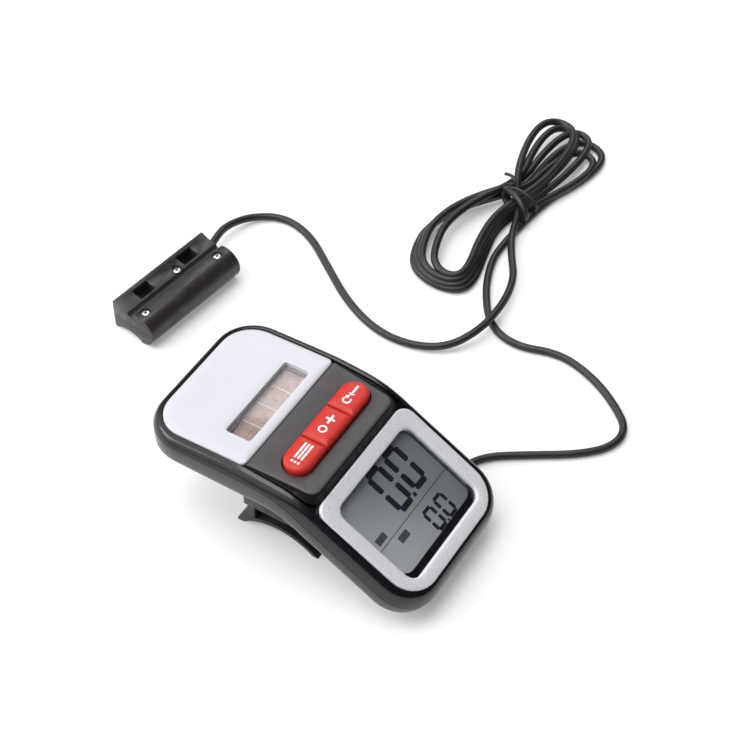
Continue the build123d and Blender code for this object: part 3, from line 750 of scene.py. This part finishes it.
BAND = dict(far=4.7, near=-14.0, half_far=19.5, half_near=18.0, r_far=0.5, r_near=2.6)
STEP_FOOT = dict(far=4.7, near=-15.55, half_far=19.9, half_near=19.7, r_far=0.4, r_near=3.6)
KEY_HALF = 4.15
KEY_HOLE = dict(far=KEY_Y + KEY_HALF, near=KEY_Y - KEY_HALF, half_far=16.7, half_near=16.7,
                r_far=KEY_HALF, r_near=KEY_HALF)


def make_band(mats):
    """Dark grey band round the buttons, and the step that carries it down to the bezel."""
    def round_keys(x, y, w):
        return band_point(x + KEY_X, y, w)

    rings = rings_of(BAND, ((0.0, -0.8), (0.0, -0.22), (0.07, -0.08), (0.22, 0.0), (0.9, 0.0)),
                     band_point)
    rings += rings_of(KEY_HOLE, ((-0.22, 0.0), (-0.06, -0.05), (0.0, -0.2), (0.0, -0.8)),
                      round_keys)
    verts, faces = loft(rings, closed=True)
    piece_from("grey_band", verts, faces, mats["band_grey"], "head", 40,
               ["button_band"])
    well = rings_of(KEY_HOLE, ((-0.6, -0.82), (0.02, -0.82), (0.02, -2.4), (-0.6, -2.4)),
                    round_keys)
    verts, faces = loft(well, closed=True)
    piece_from("button_well", verts, faces, mats["rubber"], "head", 40)

    def skirt(x, y, drop):
        return band_point(x, y, -drop * (1 + 0.6 * ease((-10.0 - y) / 4.0)))

    step = rings_of(BAND, ((1.2, 0.75), (0.12, 0.75), (-0.02, 0.3), (-0.14, 0.22), (-0.3, 0.34),
                           (-0.42, 0.7)), skirt)
    step += rings_of(STEP_FOOT, ((0.0, 0.25), (1.6, 0.25)), bend)
    verts, faces = loft(step, closed=True)
    piece_from("band_step", verts, faces, mats["step_black"], "head", 50)


# Inset and height of each ring of a key, from its foot up to its pillowed face
KEY_LEVELS = ((0.0, 27.4), (0.0, 31.0), (0.06, 31.26), (0.22, 31.5), (0.5, 31.7), (0.95, 31.85),
              (1.6, 31.95), (2.5, 32.0), (3.5, 32.0))
KEY_TOP_Z = 32.0
MARK_THICK = 0.07


def make_buttons(mats):
    """Three pillowed keys in one strip. The two end keys have their round ends outwards."""
    end_key = dict(far=16.3, near=5.85, half_far=3.85, half_near=3.85, r_far=3.83, r_near=0.3)
    middle_key = dict(far=5.65, near=-5.65, half_far=3.85, half_near=3.85, r_far=0.3, r_near=0.3)
    for word, plan, way in (("mode", end_key, -1), ("set", middle_key, 1), ("reset", end_key, 1)):
        rings = rings_of(dict(plan, side=10), KEY_LEVELS,
                         lambda x, s, z: (KEY_X + way * s, KEY_Y - way * x, z))
        verts, faces = loft(rings, cap_start=True, cap_end=True)
        body = word + "_button"
        piece_from("red_key_" + body, verts, faces, mats["red"], body, 35,
                   ["button_" + word])
    rows = (-0.95, 0.0, 0.95)
    mark(mats, "mode_button", -11.0,
         [bar(-3.4, y - 0.27, -2.7, y + 0.27) for y in rows]
         + [bar(-1.9, y - 0.27, 3.4, y + 0.27) for y in rows])
    mark(mats, "set_button", 0.0,
         [hoop(-1.9, 0, 1.2, 0.72), bar(0.2, -0.3, 3.2, 0.3), bar(1.4, 0.42, 2.0, 1.2),
          bar(1.4, -1.2, 2.0, -0.42)])
    mark(mats, "reset_button", 11.0,
         [hoop(-1.9, 0, 1.2, 0.72, 0.12, 0.88), [(-1.5, 0.1), (-0.1, 0.1), (-0.8, 1.1)],
          bar(0.6, -0.3, 3.4, 0.3), [(0.5, -1.0), (0.5, 1.0), (-0.1, 0.0)]])


def bar(x0, y0, x1, y1):
    """A rectangle as an outline."""
    return [(x0, y0), (x1, y0), (x1, y1), (x0, y1)]


def hoop(x, y, outer, inner, start=0.0, end=1.0):
    """A printed ring or part of a ring as an outline. A whole ring is left open by a hair."""
    steps = 28
    turns = [math.tau * (start + (end - start) * k / steps) for k in range(steps + 1)]
    if end - start > 0.99:
        turns[-1] -= 0.002
    return ([(x + outer * math.cos(a), y + outer * math.sin(a)) for a in turns]
            + [(x + inner * math.cos(a), y + inner * math.sin(a)) for a in reversed(turns)])


def flat_parts(shapes, place):
    """Verts and faces of several thin printed shapes."""
    verts, faces = [], []
    for shape in shapes:
        new_verts, new_faces = prism(shape, 0.0, 1.0, place)
        shift = len(verts)
        verts += new_verts
        faces += [tuple(shift + v for v in face) for face in new_faces]
    return verts, faces


def mark(mats, body, x, shapes):
    """White printed pictogram on a key."""
    def on_key(u, v, w):
        return (KEY_X + x + u, KEY_Y + v, KEY_TOP_Z - 0.04 + MARK_THICK * w)

    verts, faces = flat_parts(shapes, on_key)
    piece_from(f"mark_{body}", verts, faces, mats["ink"], body)


BEZEL = dict(far=0.0, near=-33.1, half_far=20.3, half_near=20.0, r_far=3.6, r_near=8.4)
VIEW = dict(far=-3.9, near=-29.4, half_far=16.1, half_near=16.0, r_far=3.0, r_near=3.0)
# How far the display's face lies from the bezel's, just clear of the CAD panel
GLASS_W = -2.998


def make_bezel(mats):
    """Silver bezel, the dark wall inside it, and the clear lens."""
    rings = rings_of(BEZEL, ((0.1, -1.2), (0.0, -1.0), (0.0, -0.42), (0.06, -0.2), (0.24, -0.05),
                             (0.5, 0.0), (1.4, 0.02)), on_display)
    rings += rings_of(VIEW, ((-1.3, 0.02), (-0.55, -0.02), (-0.2, -0.12), (-0.03, -0.34),
                             (0.0, -0.7), (0.0, -1.2)), on_display)
    verts, faces = loft(rings, closed=True)
    piece_from("silver_bezel", verts, faces, mats["silver"], "head", 40,
               ["display_bezel"])
    wall = rings_of(VIEW, ((-1.6, -1.22), (0.03, -1.22), (0.06, -2.8), (0.12, -2.97),
                           (-1.6, -2.97)), on_display)
    verts, faces = loft(wall, closed=True)
    piece_from("display_surround", verts, faces, mats["surround"], "head", 40)
    pane = rings_of(VIEW, ((0.06, -2.05), (0.06, -1.3)), on_display)
    verts, faces = loft(pane, cap_start=True, cap_end=True)
    piece_from("clear_lens", verts, faces, mats["clear"], "head", 30, ["display_lens"])


def digit(x, v, wide, tall, thick):
    """Outlines of the lit bars of a 0 whose upper left corner is at (x, v)."""
    gap, half, point = thick * 0.2, thick / 2, thick * 0.22

    def level_bar(middle):
        a, b = x + gap + half, x + wide - gap - half
        return [(a - point, middle), (a, middle + half), (b, middle + half), (b + point, middle),
                (b, middle - half), (a, middle - half)]

    def upright_bar(middle, top, low):
        top, low = top - gap - half * 0.6, low + gap + half * 0.6
        return [(middle, top + point), (middle + half, top), (middle + half, low),
                (middle, low - point), (middle - half, low), (middle - half, top)]

    top, centre, low = v - half, v - tall / 2, v - tall + half
    left, right = x + half, x + wide - half
    return [level_bar(top), level_bar(low), upright_bar(left, top, centre),
            upright_bar(left, centre, low), upright_bar(right, top, centre),
            upright_bar(right, centre, low)]


def make_digits(mats):
    """What the display shows: generic digits, a dividing line and two faint flags."""
    dark = digit(-2.6, -4.3, 6.2, 13.2, 1.6) + digit(5.0, -4.3, 6.0, 12.6, 1.6)
    dark += digit(1.1, -20.9, 3.9, 6.7, 0.95) + digit(6.0, -20.9, 3.9, 6.7, 0.95)
    dark += [bar(3.75, -17.3, 4.75, -16.2), bar(5.2, -27.6, 5.75, -26.9),
             bar(-15.8, -18.93, 15.8, -18.75)]
    verts, faces = flat_parts(dark, lambda u, v, w: on_display(u, v, GLASS_W + 0.003 + 0.02 * w))
    piece_from("lcd_digits", verts, faces, mats["digit"], "head")
    flags = [bar(x, v - 1.9, x + 3.6, v) for x, v in ((-13.6, -16.0), (-8.6, -20.0))]
    verts, faces = flat_parts(flags, lambda u, v, w: on_display(u, v, GLASS_W + 0.015 * w))
    piece_from("lcd_flags", verts, faces, mats["flag"], "head")


# ---------------------------------------------------------------- pieces softened from CAD

SENSOR_X, SENSOR_Y, SENSOR_TURN = 21.76, 71.46, math.radians(-8.0)
# Each sensor screw: place along and across the sensor, and height of its head
SENSOR_SCREWS = ((3.0, -2.3, 9.25), (31.5, -2.3, 9.25), (20.9, 3.2, 8.4))
# Radius and height below its top of each ring of a screw, from its tip up
SCREW_PROFILE = ((0.6, -6.0), (0.6, -1.5), (1.12, -1.5), (1.2, -1.3), (1.2, -0.42), (1.12, -0.22),
                 (0.9, -0.08), (0.5, 0.0))
CROSS_ARM, CROSS_HALF, CROSS_TURN = 0.75, 0.17, math.radians(25)
GROOVE_EDGES = (-0.35, 7.7, 1.25, 12.0)


def on_sensor(x, u, z):
    """A point in the sensor's own frame, x along it and u across it, put in its place."""
    c, s = math.cos(SENSOR_TURN), math.sin(SENSOR_TURN)
    return (SENSOR_X + x * c - u * s, SENSOR_Y + x * s + u * c, z)


def softened(node, name, material, body, width_mm, angle=35.0, groove=None):
    """A copy of a CAD part with its faces merged and its edges rounded as a mould leaves them."""
    piece = add(name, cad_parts[node].data.copy())
    form = bmesh.new()
    form.from_mesh(piece.data)
    bmesh.ops.remove_doubles(form, verts=form.verts, dist=2e-6)
    bmesh.ops.dissolve_limit(form, angle_limit=math.radians(1.5), verts=form.verts,
                             edges=form.edges)
    form.to_mesh(piece.data)
    form.free()
    if groove:
        cut(piece, [groove])
    bevel(piece, width_mm, 2, angle)
    dress(piece, material, body, 32, [node])


def cross_shape():
    """A plus sign as an outline, turned a little."""
    arm, half = CROSS_ARM, CROSS_HALF
    plus = [(half, half), (half, arm), (-half, arm), (-half, half), (-arm, half), (-arm, -half),
            (-half, -half), (-half, -arm), (half, -arm), (half, -half), (arm, -half), (arm, half)]
    c, s = math.cos(CROSS_TURN), math.sin(CROSS_TURN)
    return [(a * c - b * s, a * s + b * c) for a, b in plus]


def make_sensor_screws(mats):
    """Small pan heads with a cross recess, and a dark sheet of painted shade in each recess."""
    plus = cross_shape()
    turns = [math.tau * k / 40 for k in range(40)]
    for number, (x, u, top) in enumerate(SENSOR_SCREWS, 1):
        def place(a, b, z):
            return on_sensor(x + a, u + b, z)

        rings = [[place(r * math.cos(a), r * math.sin(a), top + z) for a in turns]
                 for r, z in SCREW_PROFILE]
        screw = raw(f"sensor_screw_{number}", *loft(rings, cap_start=True, cap_end=True))
        cut(screw, [raw("cutter", *prism(plus, top - 0.6, top + 1.0, place))])
        dress(screw, mats["chrome"], "bracket", 35,
              ["sensor_screws"] if number == 1 else ())
        # Painted shade: a dark sheet fills the cross recess, which is bare metal lying in shadow.
        recess_shade = [(0.98 * a, 0.98 * b) for a, b in plus]
        verts, faces = prism(recess_shade, top - 0.58, top - 0.14, place)
        piece_from(f"screw_shade_{number}", verts, faces, mats["step_black"], "bracket")


def make_softened(mats):
    softened("handlebar_bracket", "bracket_body", mats["bracket_black"], "bracket",
             0.3)
    groove = raw("cutter", *prism(bar(*GROOVE_EDGES), -1.0, 36.5,
                                  lambda u, z, x: on_sensor(x, u, z)))
    softened("sensor_upper_shell", "sensor_top", mats["sensor_black"], "bracket",
             0.25, 28, groove)
    softened("sensor_lower_shell", "sensor_base", mats["sensor_black"], "bracket",
             0.25, 28)
    softened("battery_door", "door_disc", mats["lower_black"], "door", 0.2)


# ---------------------------------------------------------------- the tie round the hank

TIE_LEAN = math.radians(-9.0)
TWIST_RADIUS, WRAP_RADIUS = 0.5, 0.95


def at_tie(u, v, z):
    """A point u along the hank and v across it, from the tie's middle."""
    c, s = math.cos(TIE_LEAN), math.sin(TIE_LEAN)
    return (TIE_X + u * c - v * s, TIE_Y + 0.4 + u * s + v * c, z)


def make_tie(mats):
    """Thin twist tie with one free end, and a thicker wrap beside it, both round the bundle."""
    twist = [at_tie(5.2, 8.6, 6.4), at_tie(4.4, 6.4, 8.0), at_tie(3.0, 3.6, 8.9)]
    count = 14
    for k in range(count + 4):
        a = math.tau * (0.17 - k / count)
        twist.append(at_tie(2.4 - 1.8 * k / count, 6.0 * math.cos(a), 4.4 + 3.8 * math.sin(a)))
    tie = cable_line("hank_twist", twist, TWIST_RADIUS, mats["rubber"])
    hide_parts("hank_tie")
    turns = [math.tau * k / 16 for k in range(17)]
    strap = [at_tie(-1.4 + 2.0 * math.cos(a), 5.7 * math.cos(a), 4.3 + 3.4 * math.sin(a))
             for a in turns]
    wrap = cable_line("hank_wrap", strap, WRAP_RADIUS, mats["cable"])
    for piece in (tie, wrap):
        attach(piece, "bracket")
    return [tie, wrap]


# ---------------------------------------------------------------- CAD parts kept as they are

KEPT = {
    "clear": ["solar_window"],
    "lcd": ["display_panel"],
    "cell": ["solar_cells"],
    "soft_grey": ["solar_backing", "keypad_sheet"],
    "board": ["display_board", "key_board", "sensor_board"],
    "steel": ["snap_domes", "coin_cell", "battery_contact_negative", "battery_contact_positive",
              "case_screws", "quartz_crystal"],
    "brass": ["bracket_pins", "foot_pads"],
    "ribbon": ["ribbon_link"],
    "rubber": ["contact_strips", "chip_blob", "door_seal", "strain_relief"],
    "clear_tube": ["reed_switch"],
}


def dress_kept(mats):
    for key, names in KEPT.items():
        for name in names:
            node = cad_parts[name]
            node.data.materials.clear()
            node.data.materials.append(mats[key])
            node.data.shade_smooth()
            node.data.set_sharp_from_angle(angle=math.radians(28))


make_camera()
make_studio()
mats = make_materials()
make_cable(mats)
make_upper_shell(mats)
make_lower_shell(mats)
make_foot(mats)
make_cover(mats)
make_solar_cell(mats)
make_band(mats)
make_buttons(mats)
make_bezel(mats)
make_digits(mats)
make_softened(mats)
make_sensor_screws(mats)
dress_kept(mats)
